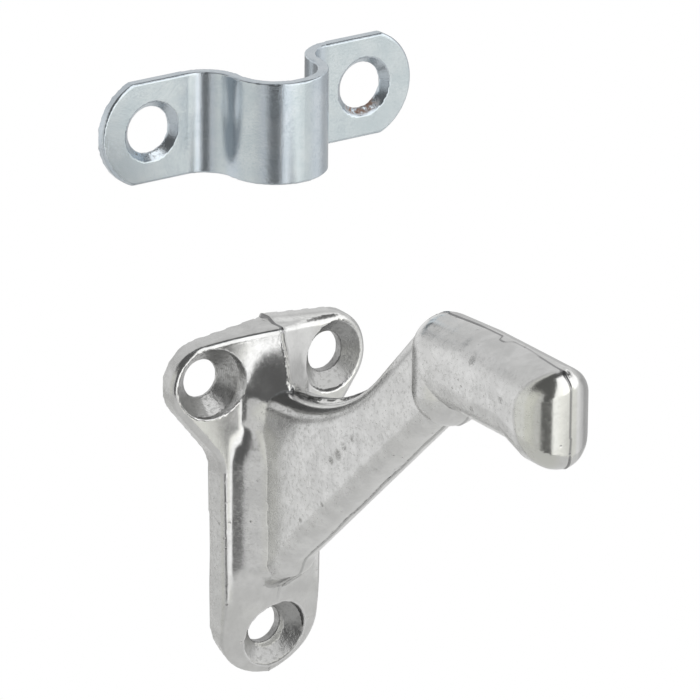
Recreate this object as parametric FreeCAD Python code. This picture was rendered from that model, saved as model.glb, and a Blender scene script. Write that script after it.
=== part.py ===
import FreeCAD, Part
import math
import os

# Handrail bracket: a cast wall bracket, and the bent steel strap that clamps its bar to a rail.
# Millimetres. X runs along the wall, +Z is up, the wall is the plane Y = 0 and the room is towards -Y.
# The origin lies on the wall, midway between the two upper screw holes.
# "out" below always means the distance from the wall, that is -Y.

# ---- casting: wall plate
HOLE_X = 9.8             # upper screw holes, either side of the middle
HOLE_LOW_Z = -37.7       # lower screw hole
HOLE_R = 2.7
SINK_R, SINK_LOW_R = 4.9, 4.8    # mouth of the upper countersinks, and of the lower one
CONE_END = 2.9           # each cone reaches its mouth this far from the wall
LAND, LAND_DEEP = 0.7, 1.5       # straight hole left behind the cone: upper left, and the other two
SINK_OFF_X, SINK_OFF_Z = 0.6, -0.8      # the lower countersink was cut this far off its hole
LOBE_X, LOBE_Z, LOBE_R = 9.8, -0.2, 5.85
TOP_Z = 6.75             # top edge of the plate on the middle line
NECK_X, NECK_Z = 8.25, -11.5   # corner where shoulder meets stem, before rounding
NECK_R = 6.5
STEM_FOOT_R = 7.85       # round lower end of the stem
STEM_FOOT_Z = -36.9
CROWN = 4.95             # plate thickness on the middle line
CROWN_FALL = 0.137       # thickness lost per mm towards either edge
TOE_Z, TOE_R = -31.0, 38.0    # below this height the front curves back towards the wall
RIM_R = 0.9

# ---- casting: web
WEB_HALF = 3.3           # half thickness of the flat web
WEB_EDGE_R = 2.6         # rounding of its upper and lower edges
RIDGE_OUT = 5.8          # thickness at the top end of the ridge between the lobes
RIDGE_FALL = 0.25        # how far the ridge comes forward per mm down
RIDGE_HALF = 4.9         # half width of the ridge at its foot
RIDGE_END_Z = -6.0       # below this height the ridge sinks into the plate, hidden in the web
RIDGE_SINK = 1.5         # how fast it sinks there, per mm down
RIDGE_BLEND = 0.8        # softness of the crease along the ridge's foot
FLARE_SLOPE = 2.6        # steepness of the flare where it meets the flat web
FLARE_REACH = 6.5        # how gradually the flare leaves the plate
FLARE_CAP = 9.0          # the flare ends at this height, inside the web
FLARE_INSET = 1.5        # the flare starts this far below the scoop
FLARE_BEVEL = 0.16       # how the flare falls away to both sides along the web's lower edge
FLARE_LOW_REACH = 1.2
FLARE_LOW_SINK = 0.5     # keeps the flare's lower edge just inside the web
SKIN_HALF = 17.0         # the front skin is laid out over this half width, on a grid
SKIN_LOW, SKIN_HIGH = -46.0, 8.0
SKIN_COLUMNS, SKIN_ROWS = 24, 50
SCOOP_OUT, SCOOP_Z, SCOOP_R = 7.0, -1.7, 34.0     # lowest point and radius of the scooped top
SCOOP_TURN = 46.5        # slope at which the scoop runs out straight
WEB_LOW_OUT, WEB_LOW_Z, WEB_LOW_SLOPE = 6.6, -29.3, 0.93

# ---- casting: bar
BAR_R = 4.95             # half width of the bar and radius of its full-round edges
BAR_TOP, BAR_BOTTOM = 21.75, 9.4
ROOT_OUT = 45.1          # axis of the upright, round-ended root
ROOT_DROP, ROOT_RUN = 0.45, 8.0    # the top falls this much over this length, back to the root
KNUCKLE_Z = 11.0         # centre of the rounded knuckle under the root
TIP_OUT = 72.1
DOME_R = BAR_R + 0.45    # plan radius of the domed tip, a little flatter than half round
TIP_EDGE_R = 2.6         # rounding of the dome's upper and lower edge
LIP_DROP = 1.4           # the tip hangs this much below the bar
LIP_LENGTH, LIP_RUN = 5.6, 4.0     # full drop over this length, after a slope of this run

# ---- strap
STRAP_T = 1.5
STRAP_HALF = 7.1         # half the width of the strip
STRAP_X, STRAP_Z = -1.1, 36.9      # where the strap lies on the wall plane, above the casting
HUMP_R, HUMP_OUT = 7.1, 5.4        # outside radius and centre of the hump
BEND_R = 4.2             # room-side radius where the ears turn into the hump
EAR_HOLE_X = 16.9
EAR_HOLE_R = 3.25
EAR_SINK_R = 4.2
EAR_END_R = 7.7          # round end of each ear, about its hole


def pt(x, out, z):
    return FreeCAD.Vector(x, -out, z)


def path_face(start, steps):
    """Face from a start point and steps: a point for a line, a (middle, end) pair for an arc."""
    edges, here = [], start
    for step in steps:
        if isinstance(step, tuple):
            edges.append(Part.Arc(here, step[0], step[1]).toShape())
            here = step[1]
        elif here.distanceToPoint(step) > 1e-6:
            edges.append(Part.makeLine(here, step))
            here = step
    if here.distanceToPoint(start) > 1e-6:
        edges.append(Part.makeLine(here, start))
    return Part.Face(Part.Wire(edges))


def touch(point, centre, radius, turn):
    """Where the line from point touches a circle; turn +1 or -1 picks the side. Plain 2D pairs."""
    dx, dy = point[0] - centre[0], point[1] - centre[1]
    angle = math.atan2(dy, dx) + turn * math.acos(radius / math.hypot(dx, dy))
    return angle, (centre[0] + radius * math.cos(angle), centre[1] + radius * math.sin(angle))


def on_circle(centre, radius, angle):
    return centre[0] + radius * math.cos(angle), centre[1] + radius * math.sin(angle)


def outline_half():
    """Right half of the plate seen from the front, as a closed face on the wall plane."""
    lobe, foot, neck = (LOBE_X, LOBE_Z), (0.0, STEM_FOOT_Z), (NECK_X, NECK_Z)
    a_top, p_top = touch((0.0, TOP_Z), lobe, LOBE_R, -1)
    a_low, p_low = touch(neck, lobe, LOBE_R, 1)
    a_foot, p_foot = touch(neck, foot, STEM_FOOT_R, -1)
    if a_top < a_low:
        a_top += 2 * math.pi
    mid_lobe = on_circle(lobe, LOBE_R, (a_top + a_low) / 2)
    mid_foot = on_circle(foot, STEM_FOOT_R, (a_foot - math.pi / 2) / 2)
    flat = lambda p: pt(p[0], 0, p[1])
    return path_face(flat((0.0, TOP_Z)), [
        flat(p_top), (flat(mid_lobe), flat(p_low)), flat(neck), flat(p_foot),
        (flat(mid_foot), pt(0, 0, STEM_FOOT_Z - STEM_FOOT_R))])


def smooth_max(a, b, reach):
    """The larger of two heights, blended where they come within reach of each other."""
    near = max(reach - abs(a - b), 0.0) / reach
    return max(a, b) + near * near * reach / 4


def front_height(x, z):
    """Thickness of the plate's front skin: crown, toe, ridge between the lobes and flare to the web."""
    crown = CROWN - CROWN_FALL * x
    if z < TOE_Z:
        crown -= TOE_R - math.sqrt(TOE_R ** 2 - (TOE_Z - z) ** 2)
    crest = RIDGE_OUT + RIDGE_FALL * (TOP_Z - max(z, RIDGE_END_Z))
    slope = (crest - CROWN) / RIDGE_HALF + CROWN_FALL
    ridge = crest - slope * x - RIDGE_SINK * max(RIDGE_END_Z - z, 0.0)
    skin = smooth_max(crown, ridge, RIDGE_BLEND)
    wall = crown + FLARE_SLOPE * min(WEB_HALF - x, SCOOP_Z - FLARE_INSET - z)
    flared = smooth_max(skin, min(wall, FLARE_CAP), FLARE_REACH)
    edge = WEB_LOW_OUT - FLARE_LOW_SINK + (z - WEB_LOW_Z) / WEB_LOW_SLOPE
    under = edge - FLARE_BEVEL * x * x
    return min(flared, smooth_max(skin, under, FLARE_LOW_REACH))


def front_skin():
    """The moulded front of the plate's right half as one smooth surface, past the outline all round."""
    columns = [SKIN_HALF * i / SKIN_COLUMNS for i in range(SKIN_COLUMNS + 1)]
    rows = [SKIN_LOW + (SKIN_HIGH - SKIN_LOW) * k / SKIN_ROWS for k in range(SKIN_ROWS + 1)]
    skin = Part.BSplineSurface()
    skin.interpolate([[pt(x, front_height(x, z), z) for z in rows] for x in columns])
    return skin.toShape()


def plate():
    """Wall plate: two screw lobes on top, a narrow stem, one round lobe below, moulded front."""
    body = outline_half().extrude(pt(0, 2 * FLARE_CAP, 0))
    neck = [e for e in body.Edges if e.BoundBox.YLength > FLARE_CAP
            and abs(e.CenterOfMass.x - NECK_X) < 1e-3 and abs(e.CenterOfMass.z - NECK_Z) < 1e-3]
    body = body.makeFillet(NECK_R, neck)
    body = body.common(front_skin().extrude(pt(0, -3 * FLARE_CAP, 0)))
    rim = {}
    for face in body.Faces:
        side_wall = abs(face.normalAt(*mid_uv(face)).y) < 1e-3 and face.BoundBox.XMax > 0.1
        for e in face.Edges if side_wall else []:
            box = e.BoundBox
            along_wall = box.YMax > -1.0 or box.XMax < 0.01
            if not along_wall and max(box.XLength, box.ZLength) > 1e-3:
                rim[e.hashCode()] = e
    body = body.makeFillet(RIM_R, list(rim.values()))
    other = body.mirror(FreeCAD.Vector(0, 0, 0), FreeCAD.Vector(1, 0, 0))
    return body.fuse(other).removeSplitter()


def mid_uv(face):
    u0, u1, v0, v1 = face.ParameterRange
    return (u0 + u1) / 2, (v0 + v1) / 2


def web():
    """Flat web: scooped upper edge that runs out straight, and a straight lower edge."""
    turn = math.radians(SCOOP_TURN)
    centre = (SCOOP_OUT, SCOOP_Z + SCOOP_R)
    bow = lambda a: pt(-WEB_HALF, centre[0] + SCOOP_R * math.sin(a), centre[1] - SCOOP_R * math.cos(a))
    run_out = bow(turn)
    inside, under = ROOT_OUT - 0.4 * BAR_R, ROOT_OUT + 0.2 * BAR_R
    top_in = pt(-WEB_HALF, inside, run_out.z + (inside + run_out.y) * math.tan(turn))
    low_in = pt(-WEB_HALF, under, WEB_LOW_Z + (under - WEB_LOW_OUT) * WEB_LOW_SLOPE)
    low_wall = pt(-WEB_HALF, 1.0, WEB_LOW_Z - (WEB_LOW_OUT - 1.0) * WEB_LOW_SLOPE)
    face = path_face(pt(-WEB_HALF, 1.0, SCOOP_Z), [
        bow(0.0), (bow(turn / 2), run_out), top_in, low_in, low_wall])
    body = face.extrude(FreeCAD.Vector(2 * WEB_HALF, 0, 0))
    ends = (low_wall, pt(0, 1.0, SCOOP_Z)), (top_in, low_in)
    long_edges = [e for e in body.Edges if abs(abs(e.CenterOfMass.x) - WEB_HALF) < 1e-3
                  and all(off_line(e.CenterOfMass, a, b) > 1e-3 for a, b in ends)]
    return body.makeFillet(WEB_EDGE_R, long_edges)


def off_line(point, a, b):
    """Distance of a point from the line through a and b, seen along X."""
    along = b - a
    return abs((point.y - a.y) * along.z - (point.z - a.z) * along.y) / math.hypot(along.y, along.z)


def stadium(out, bottom, top, r):
    """Upright full-round section of the bar at one distance from the wall."""
    lo, hi = bottom + r, top - r
    return path_face(pt(-r, out, lo), [
        pt(-r, out, hi), (pt(0, out, top), pt(r, out, hi)), pt(r, out, lo),
        (pt(0, out, bottom), pt(-r, out, lo))]).OuterWire


def bar():
    """Bar with full-round edges, an upright round root and a domed tip with a small lip below."""
    low = BAR_BOTTOM - LIP_DROP
    lip = TIP_OUT - LIP_LENGTH
    steps = ((ROOT_OUT, BAR_BOTTOM, BAR_TOP - ROOT_DROP), (ROOT_OUT + ROOT_RUN, BAR_BOTTOM, BAR_TOP),
             (lip - LIP_RUN, BAR_BOTTOM, BAR_TOP), (lip, low, BAR_TOP), (TIP_OUT + DOME_R, low, BAR_TOP))
    body = Part.makeLoft([stadium(out, bottom, top, BAR_R) for out, bottom, top in steps], True, True)
    dome = Part.makeCylinder(DOME_R, 60, pt(0, TIP_OUT - DOME_R, -10))
    keep = Part.makeBox(40, TIP_OUT - DOME_R - ROOT_OUT, 60, pt(-20, TIP_OUT - DOME_R, -10))
    body = body.common(dome.fuse(keep).removeSplitter())
    tip = [f for f in body.Faces if f.Surface.TypeId == "Part::GeomCylinder"
           and abs(f.Surface.Radius - DOME_R) < 1e-6 and abs(f.Surface.Axis.z) > 0.99]
    body = body.makeFillet(TIP_EDGE_R, outer_edges(tip))
    top_z = BAR_TOP - ROOT_DROP - BAR_R
    root = Part.makeCylinder(BAR_R, top_z - KNUCKLE_Z, pt(0, ROOT_OUT, KNUCKLE_Z))
    for z in (KNUCKLE_Z, top_z):
        root = root.fuse(Part.makeSphere(BAR_R, pt(0, ROOT_OUT, z)))
    return body.fuse(root).removeSplitter()


def outer_edges(faces):
    """Edges that belong to exactly one of the given faces."""
    seen = {}
    for face in faces:
        for edge in face.Edges:
            seen.setdefault(edge.hashCode(), []).append(edge)
    return [group[0] for group in seen.values() if len(group) == 1]


def screw_hole(x, z, land, sink_r, off_x=0.0, off_z=0.0):
    """Clearance hole with a short land, a countersunk cone and a straight mouth."""
    outwards = FreeCAD.Vector(0, -1, 0)
    hole = Part.makeCylinder(HOLE_R, CONE_END + 1, pt(x, -1, z), outwards)
    cone = Part.makeCone(HOLE_R, sink_r, CONE_END - land, pt(x + off_x, land, z + off_z), outwards)
    mouth = Part.makeCylinder(sink_r, 8, pt(x + off_x, CONE_END, z + off_z), outwards)
    return hole.fuse(cone).fuse(mouth)


def casting():
    """The wall bracket: plate, web and bar in one piece, with three countersunk holes."""
    body = plate().fuse(web().fuse(bar()))
    body = body.cut(screw_hole(-HOLE_X, 0.0, LAND, SINK_R))
    body = body.cut(screw_hole(HOLE_X, 0.0, LAND_DEEP, SINK_R))
    return body.cut(screw_hole(0.0, HOLE_LOW_Z, LAND_DEEP, SINK_LOW_R, SINK_OFF_X, SINK_OFF_Z))


def strap_section():
    """Cross-section of the bent strip, seen along the strip's width."""
    lift = STRAP_T + BEND_R - HUMP_OUT
    bend_x = math.sqrt((HUMP_R + BEND_R) ** 2 - lift ** 2)
    lean = math.atan2(lift, bend_x)
    hump, bend = (0.0, HUMP_OUT), (bend_x, STRAP_T + BEND_R)
    ear_end = EAR_HOLE_X + EAR_END_R + 2.0

    def skin(hump_r, bend_r, side, ear_out):
        """One skin on one side (+1 right, -1 left), from the end of the ear to the top of the hump."""
        flat = [(ear_end, ear_out), on_circle(bend, bend_r, 1.5 * math.pi),
                on_circle(bend, bend_r, 1.25 * math.pi + lean / 2), on_circle(bend, bend_r, math.pi + lean),
                on_circle(hump, hump_r, math.pi / 4 + lean / 2), on_circle(hump, hump_r, math.pi / 2)]
        return [pt(side * x, out, -STRAP_HALF) for x, out in flat]

    room = [skin(HUMP_R, BEND_R, side, STRAP_T) for side in (1, -1)]
    wall = [skin(HUMP_R - STRAP_T, BEND_R + STRAP_T, side, 0.0) for side in (1, -1)]
    steps = []
    for right, left in (room, wall[::-1]):
        steps += [right[0], right[1], (right[2], right[3]), (right[4], right[5]),
                  (left[4], left[3]), (left[2], left[1]), left[0]]
    return path_face(room[0][0], steps)


def strap():
    """Bent strip: two flat round-ended ears with countersunk holes and a hump between them."""
    outwards = FreeCAD.Vector(0, -1, 0)
    deep = 4 * HUMP_R
    body = strap_section().extrude(FreeCAD.Vector(0, 0, 2 * STRAP_HALF))
    blank = Part.makeBox(2 * EAR_HOLE_X, deep, deep, FreeCAD.Vector(-EAR_HOLE_X, 1 - deep, -deep / 2))
    for x in (-EAR_HOLE_X, EAR_HOLE_X):
        blank = blank.fuse(Part.makeCylinder(EAR_END_R, deep, pt(x, -1, 0), outwards))
    body = body.common(blank.removeSplitter())
    land = STRAP_T - (EAR_SINK_R - EAR_HOLE_R)
    for x in (-EAR_HOLE_X, EAR_HOLE_X):
        body = body.cut(Part.makeCylinder(EAR_HOLE_R, STRAP_T + 2, pt(x, -1, 0), outwards))
        body = body.cut(Part.makeCone(EAR_HOLE_R, EAR_SINK_R + 1, EAR_SINK_R + 1 - EAR_HOLE_R,
                                      pt(x, land, 0), outwards))
    body.translate(pt(STRAP_X, 0, STRAP_Z))
    return body


os.makedirs("parts", exist_ok=True)
for name, make in (("wall_bracket", casting), ("rail_strap", strap)):
    shape = make()
    print(name, "sound" if shape.isValid() else "NOT SOUND", round(shape.Volume), "cubic mm")
    shape.exportStep("parts/" + name + ".step")
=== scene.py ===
import math

import bmesh
import bpy
import numpy as np
from mathutils import Matrix, Vector
from mathutils.bvhtree import BVHTree


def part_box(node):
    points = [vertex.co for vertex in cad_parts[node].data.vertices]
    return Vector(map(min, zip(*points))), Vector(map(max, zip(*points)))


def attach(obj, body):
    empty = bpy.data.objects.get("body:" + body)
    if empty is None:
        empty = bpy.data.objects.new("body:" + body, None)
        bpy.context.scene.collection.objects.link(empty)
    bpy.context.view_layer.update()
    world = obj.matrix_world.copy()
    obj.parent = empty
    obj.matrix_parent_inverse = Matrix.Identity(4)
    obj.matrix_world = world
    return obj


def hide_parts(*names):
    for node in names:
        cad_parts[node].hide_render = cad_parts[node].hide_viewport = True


# Looks of a cast handrail bracket and its bent steel strap. The shared frame is in metres. The
# pieces and their finishes are worked out in millimetres, the camera and the floor in metres. X runs
# along the wall, +Z is up, the wall is at Y = 0 and the room is towards -Y, so "out" in this script
# is the distance from the wall.

MM = 0.001

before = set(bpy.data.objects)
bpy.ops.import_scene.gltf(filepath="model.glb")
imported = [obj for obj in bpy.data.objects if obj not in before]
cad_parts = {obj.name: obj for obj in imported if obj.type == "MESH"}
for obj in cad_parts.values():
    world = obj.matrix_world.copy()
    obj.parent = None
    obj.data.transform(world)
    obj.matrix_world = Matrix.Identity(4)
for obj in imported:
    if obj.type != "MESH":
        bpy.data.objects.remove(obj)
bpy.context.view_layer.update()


# ---- mesh work -------------------------------------------------------------------------------


def points_of(mesh):
    """The mesh's points as an array of millimetres."""
    flat = np.zeros(len(mesh.vertices) * 3)
    mesh.vertices.foreach_get("co", flat)
    return flat.reshape(-1, 3) / MM


def set_points(mesh, points_mm):
    mesh.vertices.foreach_set("co", (points_mm * MM).ravel())
    mesh.update()


def dense_copy(source, name, grain_mm):
    """Even, dense copy of a CAD solid, made at a thousand times its size to stay exact."""
    mesh = source.data.copy()
    mesh.transform(Matrix.Scale(1 / MM, 4))
    draft = bpy.data.objects.new(name + "_draft", mesh)
    bpy.context.scene.collection.objects.link(draft)
    remesh = draft.modifiers.new("grain", "REMESH")
    remesh.mode = "VOXEL"
    remesh.voxel_size = grain_mm
    graph = bpy.context.evaluated_depsgraph_get()
    dense = bpy.data.meshes.new_from_object(draft.evaluated_get(graph))
    bpy.data.objects.remove(draft)
    dense.transform(Matrix.Scale(MM, 4))
    dense.name = name
    return dense


def ramp(values, low, high):
    """0 below low, 1 above high, smooth in between."""
    t = np.clip((values - low) / (high - low), 0, 1)
    return t * t * (3 - 2 * t)


def unit(vectors):
    return vectors / np.maximum(np.linalg.norm(vectors, axis=1, keepdims=True), 1e-9)


class Skin:
    """The exact surface of a CAD solid, to pull a denser mesh back onto and to shade it by."""

    def __init__(self, source):
        mesh = source.data
        mesh.calc_loop_triangles()
        self.points = points_of(mesh)
        triangles = [t.vertices[:] for t in mesh.loop_triangles]
        corners = np.array([t.loops[:] for t in mesh.loop_triangles])
        turned = np.zeros(len(mesh.loops) * 3)
        mesh.corner_normals.foreach_get("vector", turned)
        self.corner_normals = turned.reshape(-1, 3)[corners]
        self.triangles = np.array(triangles)
        self.tree = BVHTree.FromPolygons([Vector(p) for p in self.points], triangles)

    def nearest(self, points_mm):
        """Nearest surface points, with the smooth normals of the surface there."""
        spots, faces = np.empty_like(points_mm), np.empty(len(points_mm), np.int64)
        for i, p in enumerate(points_mm):
            spot, _, face, _ = self.tree.find_nearest(Vector(p))
            spots[i], faces[i] = spot, face
        a, b, c = (self.points[self.triangles[faces, k]] for k in range(3))
        ab, ac, ap = b - a, c - a, spots - a
        bb, bc, cc = (np.sum(u * v, axis=1) for u, v in ((ab, ab), (ab, ac), (ac, ac)))
        pb, pc = np.sum(ap * ab, axis=1), np.sum(ap * ac, axis=1)
        area = np.maximum(bb * cc - bc * bc, 1e-12)
        v, w = (cc * pb - bc * pc) / area, (bb * pc - bc * pb) / area
        share = np.clip(np.stack([1 - v - w, v, w], axis=1), 0, 1)
        return spots, unit(np.einsum("ij,ijk->ik", share, self.corner_normals[faces]))


def shading(mesh, skin, own=None):
    """Normals of the exact surface, except near creases and where own (0 to 1) says so."""
    bare = vertex_normals(mesh)
    _, exact = skin.nearest(points_of(mesh))
    trust = ramp(np.sum(bare * exact, axis=1), 0.80, 0.95)
    if own is not None:
        trust *= 1 - own
    return unit(bare + trust[:, None] * (exact - bare))


def edge_pairs(mesh):
    pairs = np.zeros(len(mesh.edges) * 2, np.int64)
    mesh.edges.foreach_get("vertices", pairs)
    return pairs.reshape(-1, 2)


def relax(points, pairs, passes, amount):
    """Moves each point towards the middle of its neighbours; amount is one number per point."""
    count = np.bincount(pairs.ravel(), minlength=len(points))[:, None]
    for _ in range(passes):
        total = np.zeros_like(points)
        np.add.at(total, pairs[:, 0], points[pairs[:, 1]])
        np.add.at(total, pairs[:, 1], points[pairs[:, 0]])
        points = points + amount[:, None] * (total / count - points)
    return points


def vertex_normals(mesh):
    bare = np.zeros(len(mesh.vertices) * 3)
    mesh.vertices.foreach_get("normal", bare)
    return bare.reshape(-1, 3)


def soften(mesh, skin, passes, near_mm, crisp=None, loose=None):
    """Rounds the edges and fills the corners a little, and leaves plain surfaces where they are.

    crisp and loose give 0 to 1 for an array of points: less rounding, or far more of it.
    """
    points, pairs = points_of(mesh), edge_pairs(mesh)
    amount = np.full(len(points), 0.5)
    if crisp is not None:
        amount *= 1 - 0.8 * crisp(points)
    free = loose(points) if loose is not None else np.zeros(len(points))
    points = relax(points, pairs, passes, amount)
    spots, _ = skin.nearest(points)
    away = np.linalg.norm(points - spots, axis=1)
    back = np.clip((2 * near_mm - away) / near_mm, 0, 1)[:, None] * (1 - free)[:, None]
    set_points(mesh, points + back * (spots - points))
    points = points_of(mesh)
    _, exact = skin.nearest(points)
    creased = 1 - ramp(np.sum(vertex_normals(mesh) * exact, axis=1), 0.86, 0.96)
    points = relax(points, pairs, 12, amount * creased)
    set_points(mesh, relax(points, pairs, 24, 0.6 * free))


def shown(mesh, name, node, finish):
    """Puts a finished mesh in place of a CAD node."""
    obj = bpy.data.objects.new(name, mesh)
    bpy.context.scene.collection.objects.link(obj)
    mesh.materials.clear()
    mesh.materials.append(finish)
    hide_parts(node)
    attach(obj, "root")


# ---- shader work -----------------------------------------------------------------------------


class Wire:
    """One socket of a node tree. Arithmetic on it adds Math nodes."""

    def __init__(self, tree, socket=None):
        self.tree, self.socket = tree, socket

    def node(self, kind, settings=None, inputs=None, output=0):
        """Adds any other node: its settings first, then the values or links of its sockets."""
        made = self.tree.nodes.new(kind)
        for name, value in (settings or {}).items():
            setattr(made, name, value)
        for name, value in (inputs or {}).items():
            if isinstance(value, Wire):
                self.tree.links.new(value.socket, made.inputs[name])
            else:
                made.inputs[name].default_value = value
        return Wire(self.tree, made.outputs[output])

    def maths(self, operation, *values):
        return self.node("ShaderNodeMath", {"operation": operation}, dict(enumerate(values)))

    def __add__(self, other):
        return self.maths("ADD", self, other)

    def __radd__(self, other):
        return self.maths("ADD", other, self)

    def __sub__(self, other):
        return self.maths("SUBTRACT", self, other)

    def __rsub__(self, other):
        return self.maths("SUBTRACT", other, self)

    def __mul__(self, other):
        return self.maths("MULTIPLY", self, other)

    def __rmul__(self, other):
        return self.maths("MULTIPLY", other, self)

    def __truediv__(self, other):
        return self.maths("DIVIDE", self, other)

    def __rtruediv__(self, other):
        return self.maths("DIVIDE", other, self)

    def __pow__(self, other):
        return self.maths("POWER", self, other)

    def __rpow__(self, other):
        return self.maths("POWER", other, self)

    def __abs__(self):
        return self.maths("ABSOLUTE", self)

    def at_least(self, other):
        return self.maths("MAXIMUM", self, other)

    def at_most(self, other):
        return self.maths("MINIMUM", self, other)

    def between(self, low, high):
        """0 below low, 1 above high, smooth in between."""
        settings = {"interpolation_type": "SMOOTHSTEP"}
        return self.node("ShaderNodeMapRange", settings,
                         {"Value": self, "From Min": low, "From Max": high})


def colour_mix(tree, factor, first, second):
    """Mix node for colours, whose sockets go by number because they share their names."""
    first, second = (c if isinstance(c, Wire) else (*c, 1.0) for c in (first, second))
    inputs = {0: factor, 6: first, 7: second}
    return Wire(tree).node("ShaderNodeMix", {"data_type": "RGBA"}, inputs, output=2)


class Finish:
    """A material being built: its place on the part in millimetres, and its shader."""

    def __init__(self, name):
        self.material = bpy.data.materials.new(name)
        self.material.use_nodes = True
        self.tree = self.material.node_tree
        self.shader = next(n for n in self.tree.nodes if n.type == "BSDF_PRINCIPLED")
        start = Wire(self.tree)
        place = start.node("ShaderNodeTexCoord", output=3)
        self.place = start.node("ShaderNodeVectorMath", {"operation": "SCALE"}, {0: place, "Scale": 1 / MM})
        self.x, self.y, self.z = (
            start.node("ShaderNodeSeparateXYZ", inputs={"Vector": self.place}, output=i) for i in range(3))
        self.out = 0 - self.y

    def noise(self, per_mm, detail=3.0, rough=0.55):
        inputs = {"Vector": self.place, "Scale": per_mm, "Detail": detail, "Roughness": rough}
        return self.place.node("ShaderNodeTexNoise", {"noise_dimensions": "3D"}, inputs)

    def cells(self, per_mm):
        """Distance to the nearest of many scattered spots."""
        inputs = {"Vector": self.place, "Scale": per_mm, "Randomness": 1.0}
        return self.place.node("ShaderNodeTexVoronoi", {"feature": "F1"}, inputs)

    def spots(self, places):
        """1 inside small round patches given by distance from the wall, height and radius."""
        found = None
        for out, height, radius in places:
            gap = ((self.out - out) ** 2 + (self.z - height) ** 2) ** 0.5
            patch = 1 - gap.between(radius * 0.4, radius * 1.3)
            found = patch if found is None else found.at_least(patch)
        return found

    def set(self, **sockets):
        for name, value in sockets.items():
            socket = self.shader.inputs[name.replace("_", " ")]
            if isinstance(value, Wire):
                self.tree.links.new(value.socket, socket)
            else:
                socket.default_value = value

    def tinted(self, tone, amount, colour):
        """The tone, drawn towards a colour by an amount from 0 to 1."""
        return colour_mix(self.tree, amount, tone, colour)

    def relief(self, height_mm):
        """Normal from a height in millimetres."""
        inputs = {"Strength": 1.0, "Distance": MM, "Height": height_mm}
        return self.place.node("ShaderNodeBump", inputs=inputs)


# ---- finishes --------------------------------------------------------------------------------

# Middles of the countersinks: (place along the wall, height). The lower one was cut a little below
# its hole and to the right of it.
SCREW_HOLES_MM = ((-9.8, 0.0), (9.8, 0.0), (0.6, -38.5))
SINK_R_MM = 4.9

# Where the casting's left face is worn, and the pit at the foot of the web's lower edge, both as
# (distance from the wall, height, radius).
WORN_MM = (
    (24.2, -4.6, 0.8), (22.6, -6.0, 0.6), (25.6, -3.0, 0.6), (27.5, -1.2, 0.5), (15.3, -17.0, 0.4),
    (20.5, -13.0, 0.4), (32.3, -4.1, 0.4), (56.2, 19.3, 0.7), (53.3, 20.7, 0.6), (63.5, 16.4, 0.5),
    (49.2, 21.2, 0.5), (56.8, 12.9, 0.5))
EDGE_PIT_MM = ((11.5, -27.3, 0.55),)

# The height of the web's lower edge is EDGE_SLOPE times its distance from the wall, less
# EDGE_DROP_MM.
EDGE_SLOPE, EDGE_DROP_MM = 0.93, 35.4

# The dressed end of the bar begins END_OUT_MM from the wall, at the height END_HEIGHT_MM, and
# further out above and below that, by END_CURVE times the square of the height difference.
END_OUT_MM, END_HEIGHT_MM, END_CURVE = 66.4, 15.4, 0.09

# Middles of the holes in the strap's ears: (place along the wall, height).
STRAP_HOLES_MM = ((-18.0, 36.9), (15.8, 36.9))
STRAP_HOLE_R_MM = 3.25


def from_axis(f, hole):
    """Distance from a hole's axis."""
    hole_x, hole_z = hole
    return ((f.x - hole_x) ** 2 + (f.z - hole_z) ** 2) ** 0.5


def parting_line(f):
    """1 on the dark line of the mould's seam, less on the foot and under the web."""
    on_line = f.place.node("ShaderNodeAttribute", {"attribute_name": "seam"}, output=2)
    under_web = 1 - abs(f.z + f.y * EDGE_SLOPE + EDGE_DROP_MM).between(2.5, 3.5)
    foot = (0 - f.z).between(27, 30)
    return on_line.between(0.25, 0.85) * (1 - foot * 0.75) * (1 - under_web * 0.6)


def bar_end(f):
    """Masks of the bar's dressed end: its left side, the edge of that, and its right side; the edge and the
    right side carry painted shade.
    """
    past_edge = f.out - END_OUT_MM - (f.z - END_HEIGHT_MM) ** 2 * END_CURVE
    left = (0 - f.x).between(0.8, 2.4)
    dressed = past_edge.between(-0.1, 0.4) * left
    edge = (1 - abs(past_edge).between(0.05, 0.45)) * left
    return dressed, edge, f.x.between(1.2, 2.0) * f.out.between(69.0, 70.5)


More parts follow.
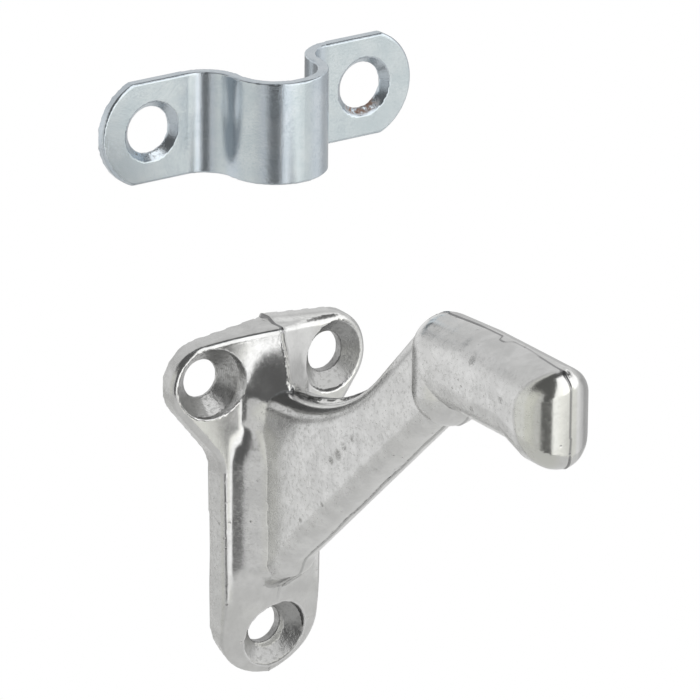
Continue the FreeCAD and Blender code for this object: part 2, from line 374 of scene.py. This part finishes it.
def cast_aluminium():
    """Tumbled casting: soft mottled grey, small pits, and bright turned countersinks, with painted
    highlights round their mouths and painted shade on the right and lower ones, on the plate's sides and on
    the bar's end.
    """
    f = Finish("cast_aluminium")
    first, *others = (from_axis(f, hole) for hole in SCREW_HOLES_MM)
    to_hole = first
    for gap in others:
        to_hole = to_hole.at_most(gap)
    off_wall = f.out.between(0.1, 0.3)
    turned = (1 - to_hole.between(SINK_R_MM + 0.05, SINK_R_MM + 0.25)) * off_wall
    # Painted highlight: a bright ring round the mouth of each countersink.
    lip_highlight = (1 - abs(to_hole - SINK_R_MM - 0.1).between(0.05, 0.22)) * off_wall
    rings = f.noise(0.5) * 3.0 + to_hole * 34.0
    rings = rings.maths("SINE", rings)
    chatter = f.noise(1.6, 3.0, 0.7).between(0.48, 0.66)

    facing = f.place.node("ShaderNodeNewGeometry", output=1)
    sideways = f.place.node("ShaderNodeSeparateXYZ", inputs={"Vector": facing})
    flats = 0.35 + abs(sideways).between(0.55, 0.9) * 0.65
    # Painted shade: the plate is darker, most on its faces that look sideways.
    plate_side_shade = flats * (1 - f.out.between(3.0, 5.5)) * (1 - turned)
    mottle = f.noise(0.35, 4.0, 0.6)
    cloud = f.noise(0.09, 2.0, 0.5)
    smudge = f.noise(0.8, 3.0, 0.65).between(0.46, 0.66) * flats
    specks = f.noise(1.9, 4.0, 0.75).between(0.50, 0.64) * flats
    grain = f.noise(3.2, 3.0, 0.7)
    pits = 1 - f.cells(0.8).between(0.06, 0.20)
    pits = pits * f.noise(0.16, 2.0, 0.6).between(0.54, 0.68) * (1 - turned)
    worn = f.spots(WORN_MM) * f.noise(2.6, 4.0, 0.8).between(0.44, 0.56)
    worn = worn * flats * (0 - f.x).between(0.5, 2.5)
    edge_pit = f.spots(EDGE_PIT_MM) * f.noise(2.0, 3.0, 0.7).between(0.3, 0.5)
    dressed, end_edge, right_end_shade = bar_end(f)

    tone = colour_mix(f.tree, mottle.between(0.35, 0.68), (0.575, 0.575, 0.57), (0.675, 0.675, 0.67))
    tone = f.tinted(tone, cloud.between(0.4, 0.7) * 0.35, (0.615, 0.615, 0.60))
    tone = f.tinted(tone, smudge * 0.18, (0.47, 0.47, 0.46))
    tone = f.tinted(tone, specks * 0.32, (0.42, 0.42, 0.41))
    tone = f.tinted(tone, dressed * 0.6, (0.55, 0.555, 0.505))
    # Painted shade on the right-hand side of the bar's end.
    tone = f.tinted(tone, right_end_shade * 0.5, (0.33, 0.33, 0.33))
    # Painted shade: a dark line along the edge of the dressed end, over the small groove in the bump.
    tone = f.tinted(tone, end_edge * 0.3, (0.33, 0.33, 0.31))
    # Painted shade on the plate, strongest on its sideways faces.
    tone = f.tinted(tone, plate_side_shade * 0.4, (0.36, 0.36, 0.35))
    tone = f.tinted(tone, pits * 0.4, (0.28, 0.28, 0.27))
    tone = f.tinted(tone, (worn * 0.32).at_least(edge_pit * 0.8), (0.22, 0.22, 0.21))
    tone = f.tinted(tone, turned * (0.92 + rings * 0.08), (0.43, 0.43, 0.425))
    tone = f.tinted(tone, turned * chatter * 0.6, (0.27, 0.27, 0.265))
    # Painted shade: the countersinks right of x = -4 mm, the right and the lower one, are darker.
    tone = f.tinted(tone, turned * f.x.between(-4, 0) * 0.5, (0.22, 0.22, 0.22))
    # Painted highlight round the mouths of the countersinks.
    tone = f.tinted(tone, lip_highlight * 0.6, (0.80, 0.80, 0.80))
    tone = f.tinted(tone, parting_line(f) * 0.75, (0.16, 0.16, 0.165))

    rough = 0.10 + flats * 0.09 + mottle * 0.06 + specks * 0.08 + pits * 0.2
    rough = rough * (1 - turned) + turned * (0.30 + rings * 0.03 + chatter * 0.1)
    height = (grain * 0.006 + mottle * 0.008) * flats - specks * 0.006 - pits * 0.04
    height = height - worn * 0.03 - edge_pit * 0.05 - end_edge * 0.02
    height = height * (1 - turned) + turned * (rings * 0.0008 + chatter * 0.015)
    f.set(Base_Color=tone, Metallic=1.0, Roughness=rough, Normal=f.relief(height))
    return f.material


def lower_wall(f, hole):
    """1 on the lower wall of a hole in one of the strap's ears."""
    gap = from_axis(f, hole)
    near = 1 - gap.between(STRAP_HOLE_R_MM + 0.35, STRAP_HOLE_R_MM + 0.9)
    return near * ((hole[1] - f.z) / gap).between(0.55, 0.9)


def zinc_plating():
    """Bright bluish plating over rolled strip, with dirt in both holes and rust in the right one."""
    f = Finish("zinc_plated_steel")
    speckle = f.noise(3.2, 4.0, 0.75)
    drift = f.noise(0.25, 3.0, 0.6)
    left, right = (lower_wall(f, hole) for hole in STRAP_HOLES_MM)
    grime = left.at_least(right) * f.noise(1.7, 4.0, 0.8).between(0.50, 0.60)
    rust = right * f.noise(1.3, 4.0, 0.8).between(0.42, 0.54)
    tone = colour_mix(f.tree, drift.between(0.35, 0.7), (0.49, 0.545, 0.59), (0.55, 0.595, 0.635))
    tone = f.tinted(tone, speckle.between(0.50, 0.70) * 0.45, (0.36, 0.41, 0.45))
    tone = f.tinted(tone, grime * 0.75, (0.16, 0.155, 0.15))
    tone = f.tinted(tone, rust * 0.85, (0.19, 0.085, 0.04))
    rough = 0.14 + speckle * 0.12 + grime * 0.3 + rust * 0.5
    height = speckle * 0.02 + drift * 0.015 + rust * 0.02
    f.set(Base_Color=tone, Metallic=1 - rust * 0.8, Roughness=rough, Normal=f.relief(height))
    return f.material


# ---- casting ---------------------------------------------------------------------------------

# How far the mould's parting line wanders sideways along the top of the bar: (distance from the
# wall, sideways place), both in millimetres.
BAR_SEAM_MM = (
    (45.0, 0.0), (49.0, 0.25), (56.3, 0.5), (56.9, -0.55), (57.3, -0.7), (58.2, -0.65),
    (58.7, 0.55), (62.2, 0.55), (65.0, 0.13), (69.0, -0.3), (71.5, -0.25), (72.1, 0.0))

# Cuts along the seam, the height of its bead at each, and how far to either side the mesh follows it.
SEAM_LINES_MM = (-0.42, -0.16, 0.0, 0.16, 0.42)
SEAM_BEAD_MM = (0.0, 0.03, -0.06, 0.05, 0.0)
SEAM_REACH_MM = 2.6
SEAM_STEP_MM = 0.09           # the right side stands this much proud at the seam
SEAM_DARK_MM = (0.06, 0.3)    # half-width of the dark line, and of its fading edge
SEAM_OFF_WALL_MM = 0.05       # the back of the plate has no seam

# How much higher the right half of the plate's top and of the web's top were cast.
PLATE_SHIFT_MM, WEB_SHIFT_MM = 0.45, 0.4
FOOT_HEIGHT_MM = -36.9        # middle of the plate's round foot
FOOT_RUN_IN_MM = 0.6
STEM_SWELL_MM = 1.3

CASTING_GRAIN_MM, STRAP_GRAIN_MM = 0.28, 0.22


def seam_wander(points):
    """Sideways place of the parting line beside each point."""
    out, z = -points[:, 1], points[:, 2]
    on_bar = np.interp(out, *zip(*BAR_SEAM_MM))
    elsewhere = 0.22 + 0.16 * np.sin(0.45 * out + 0.3 * z) + 0.07 * np.sin(1.7 * out - 1.1 * z)
    top_of_bar = (out > 44.5) & (z > 13.0)
    return np.where(top_of_bar, on_bar, elsewhere * np.clip((out - 0.2) / 2.0, 0, 1))


def seam_height(across):
    """Height of the parting line's bead, against the distance across it: one side stands proud."""
    step = np.where(across > 0, SEAM_STEP_MM * np.clip(1 - across / 3.0, 0, 1), 0.0)
    return step + np.interp(across, SEAM_LINES_MM, SEAM_BEAD_MM)


def mould_shift(points, normals):
    """The right half of the mould sat a little high, and the foot's side runs in towards the wall."""
    x, out, z = points[:, 0], -points[:, 1], points[:, 2]
    moved = points.copy()
    right = ramp(x, 0.0, 0.17)
    plate_top = right * ramp(z, -1.0, 5.0) * (1 - ramp(out, 1.6, 4.2))
    web_top = right * ramp(normals[:, 2], 0.1, 0.6) * ramp(out, 7.0, 10.0) * (1 - ramp(out, 30.0, 44.0))
    web_top *= (np.abs(x) < 3.6) & (z > -6.0)
    moved[:, 2] += PLATE_SHIFT_MM * plate_top + WEB_SHIFT_MM * web_top
    foot = np.stack([x, z - FOOT_HEIGHT_MM], axis=1)
    reach = np.maximum(np.linalg.norm(foot, axis=1), 1e-6)
    inward = FOOT_RUN_IN_MM * ramp(-z, 36.5, 41.0) * (1 - ramp(out, 0.4, 3.0)) * ramp(reach, 5.0, 7.0)
    moved[:, 0] -= inward * foot[:, 0] / reach
    moved[:, 2] -= inward * foot[:, 1] / reach
    return moved


def stem_swell(points):
    """The stem's front swells forward from its rim towards the web."""
    x, out, z = np.abs(points[:, 0]), -points[:, 1], points[:, 2]
    along = ramp(-z, 6.5, 12.0) * (1 - ramp(-z, 27.0, 33.5))
    inward = 1 - ramp(x, 4.1, 7.4)
    forward = STEM_SWELL_MM * inward * along * ramp(out, 2.0, 3.2) * (1 - ramp(out, 8.0, 12.0))
    moved = points.copy()
    moved[:, 1] -= forward
    return moved


def web_foot(points):
    """1 where the flare, the ridge and the top of the web run into each other, 0 elsewhere."""
    x, out, z = np.abs(points[:, 0]), -points[:, 1], points[:, 2]
    top = (1 - ramp(x, 4.5, 6.5)) * ramp(z, -13.0, -8.0) * (1 - ramp(z, -3.0, 1.0))
    low = (1 - ramp(x, 4.0, 6.0)) * ramp(-z, 27.0, 29.0) * (1 - ramp(-z, 32.0, 33.5))
    return np.maximum(top, low) * ramp(out, 4.0, 5.5) * (1 - ramp(out, 11.0, 15.0))


def near_turned(points):
    """1 at the machined countersinks, 0 elsewhere."""
    gap = np.full(len(points), 99.0)
    for hole_x, hole_z in SCREW_HOLES_MM:
        gap = np.minimum(gap, np.hypot(points[:, 0] - hole_x, points[:, 2] - hole_z))
    return (gap < SINK_R_MM + 0.6).astype(float)


def casting():
    """The cast bracket, with softened edges and the bead of its parting line."""
    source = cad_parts["wall_bracket"]
    mesh = dense_copy(source, "bracket_casting", CASTING_GRAIN_MM)
    skin = Skin(source)
    soften(mesh, skin, 5, 0.07, near_turned, web_foot)
    work = bmesh.new()
    work.from_mesh(mesh)
    for across in SEAM_LINES_MM:
        everything = work.verts[:] + work.edges[:] + work.faces[:]
        bmesh.ops.bisect_plane(work, geom=everything, dist=1e-6,
                               plane_co=(across * MM, 0, 0), plane_no=(1, 0, 0))
    work.to_mesh(mesh)
    work.free()
    points = points_of(mesh)
    across = points[:, 0].copy()
    band = np.abs(across) < SEAM_REACH_MM
    band &= points[:, 1] < -SEAM_OFF_WALL_MM
    moved = points[band]
    fade = (1 - np.abs(across[band]) / SEAM_REACH_MM) ** 2
    moved[:, 0] += seam_wander(moved) * fade
    spots, normals = skin.nearest(moved)
    keep = np.linalg.norm(moved - spots, axis=1)[:, None] < 0.12
    moved = np.where(keep, spots, moved)
    on_line = np.clip((-moved[:, 1] - SEAM_OFF_WALL_MM) / 0.5, 0, 1) * (1 - near_turned(moved))
    moved += normals * (seam_height(across[band]) * on_line)[:, None]
    points[band] = moved
    set_points(mesh, points)
    seam = np.zeros(len(points))
    seam[band] = np.interp(np.abs(across[band]), SEAM_DARK_MM, (1, 0)) * on_line
    own = np.zeros(len(points))
    own[band] = (1 - ramp(np.abs(across[band]), 0.4, 0.8)) * on_line
    normals, before = shading(mesh, skin, np.maximum(own, web_foot(points))), vertex_normals(mesh)
    low, high = (np.array(v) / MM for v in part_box("wall_bracket"))
    set_points(mesh, np.clip(mould_shift(stem_swell(points), normals), low, high))
    turned = normals + vertex_normals(mesh) - before
    mesh.normals_split_custom_set_from_vertices(unit(turned).tolist())
    mesh.attributes.new("seam", "FLOAT", "POINT").data.foreach_set("value", seam)
    shown(mesh, "bracket_casting", "wall_bracket", cast_aluminium())


# ---- strap -----------------------------------------------------------------------------------


def strap():
    """The bent steel strap, with edges rounded as by the press and the plating."""
    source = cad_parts["rail_strap"]
    mesh = dense_copy(source, "rail_clamp_strap", STRAP_GRAIN_MM)
    skin = Skin(source)
    soften(mesh, skin, 3, 0.04)
    mesh.normals_split_custom_set_from_vertices(shading(mesh, skin).tolist())
    shown(mesh, "rail_clamp_strap", "rail_strap", zinc_plating())


# ---- studio ----------------------------------------------------------------------------------

AIM = Vector((0.010598, -0.006420, 0.001724))
VIEW_AZ, VIEW_EL, VIEW_ROLL = math.radians(-34.25), math.radians(20.9), math.radians(0.54)
VIEW_DISTANCE = 1.08108
LENS_MM = 411.43


def direction(azimuth, elevation):
    """Unit vector from the object; azimuth 0 is towards the room, positive towards +X."""
    return Vector((math.sin(azimuth) * math.cos(elevation),
                   -math.cos(azimuth) * math.cos(elevation), math.sin(elevation)))


def camera():
    back = direction(VIEW_AZ, VIEW_EL)
    right = Vector((math.cos(VIEW_AZ), math.sin(VIEW_AZ), 0))
    up = back.cross(right)
    right, up = (math.cos(VIEW_ROLL) * right + math.sin(VIEW_ROLL) * up,
                 math.cos(VIEW_ROLL) * up - math.sin(VIEW_ROLL) * right)
    data = bpy.data.cameras.new("camera")
    data.lens, data.sensor_width = LENS_MM, 36.0
    data.clip_start, data.clip_end = 0.05, 50.0
    obj = bpy.data.objects.new("camera", data)
    turn = Matrix((right, up, back)).transposed().to_4x4()
    obj.matrix_world = Matrix.Translation(AIM + VIEW_DISTANCE * back) @ turn
    bpy.context.scene.collection.objects.link(obj)
    bpy.context.scene.camera = obj


def studio():
    """Light tent: dark overhead and round the camera, a tall white wall front right, else pale grey."""
    world = bpy.data.worlds.new("light_tent")
    bpy.context.scene.world = world
    world.use_nodes = True
    tree = world.node_tree
    tree.nodes.clear()
    start = Wire(tree)
    way = start.node("ShaderNodeTexCoord", output=0)
    x, y, z = (start.node("ShaderNodeSeparateXYZ", inputs={"Vector": way}, output=i) for i in range(3))
    degree = 180 / math.pi
    azimuth = x.maths("ARCTAN2", x, 0 - y) * degree
    height = z.maths("ARCSINE", z) * degree

    # The white wall's foot rises to the right, and its right-hand part is dark above.
    white_foot = ((azimuth + 15) ** 2 * 0.0045 - 24).at_most(33)
    white = azimuth.between(-19, -13) * (height - white_foot).between(-3, 3)
    far_right = azimuth.between(52, 62) * (1 - azimuth.between(128, 142)) * height.between(37, 42)
    white = white * (1 - azimuth.between(125, 145)) * (1 - height.between(74, 80)) * (1 - far_right)
    # The dark overhead comes down lowest round the camera and stays high on the far side.
    near_camera = abs(azimuth + 33)
    dark_foot = near_camera.between(13, 20) * 40 + near_camera.between(20, 45) * 14 - 30
    dark_foot = dark_foot + near_camera.between(95, 125) * 44
    dark = ((height - dark_foot).between(-4, 4) * (1 - white)).at_least(far_right)
    # Low down: brighter sides, a dark gap at the back, and a grey wall at the right.
    behind = near_camera.between(30, 55) * height.between(-38, -24) * (1 - height.between(6, 24))
    gap_behind = abs(azimuth).between(153, 159) * height.between(-36, -30) * (1 - height.between(-14, -8))
    level = 0.82 + behind * 0.22 + white * 0.9
    right_wall = azimuth.between(78, 92) * (1 - azimuth.between(148, 156)) * (1 - height.between(5, 15))
    level = level * (1 - dark * 0.82) * (1 - gap_behind * 0.65) * (1 - right_wall * 0.4)
    # The sides are a little cream-coloured.
    cream = near_camera.between(28, 40) * (1 - near_camera.between(75, 95)) * (1 - height.between(10, 30))
    tint = colour_mix(tree, cream, (1.0, 1.0, 1.0), (0.94, 0.94, 0.89))
    seen = start.node("ShaderNodeLightPath")
    glow = start.node("ShaderNodeBackground", inputs={"Color": tint, "Strength": level})
    plain = start.node("ShaderNodeBackground", inputs={"Color": (1.0, 1.0, 1.0, 1.0), "Strength": 1.0})
    mixed = start.node("ShaderNodeMixShader", inputs={"Fac": seen, 1: glow, 2: plain})
    end = tree.nodes.new("ShaderNodeOutputWorld")
    tree.links.new(mixed.socket, end.inputs["Surface"])


def floor():
    """Plain pale floor, as far below the bracket as a handrail is above one."""
    mesh = bpy.data.meshes.new("floor")
    radius, level, sides = 1.9, -0.9, 64
    rim = [(radius * math.cos(a), radius * math.sin(a), level)
           for a in (2 * math.pi * k / sides for k in range(sides))]
    mesh.from_pydata(rim, [], [tuple(range(sides))])
    obj = bpy.data.objects.new("floor", mesh)
    bpy.context.scene.collection.objects.link(obj)
    material = bpy.data.materials.new("floor_paper")
    material.use_nodes = True
    tree = material.node_tree
    shader = next(n for n in tree.nodes if n.type == "BSDF_PRINCIPLED")
    shader.inputs["Base Color"].default_value = (0.93, 0.93, 0.93, 1.0)
    shader.inputs["Roughness"].default_value = 1.0
    shader.inputs["Specular IOR Level"].default_value = 0.0
    seen = Wire(tree).node("ShaderNodeLightPath")
    shader.inputs["Emission Strength"].default_value = 1.0
    glow = colour_mix(tree, seen, (0.13, 0.13, 0.125), (1.0, 1.0, 1.0))
    tree.links.new(glow.socket, shader.inputs["Emission Color"])
    mesh.materials.append(material)


casting()
strap()
camera()
studio()
floor()

scene = bpy.context.scene
scene.view_settings.view_transform = "Standard"
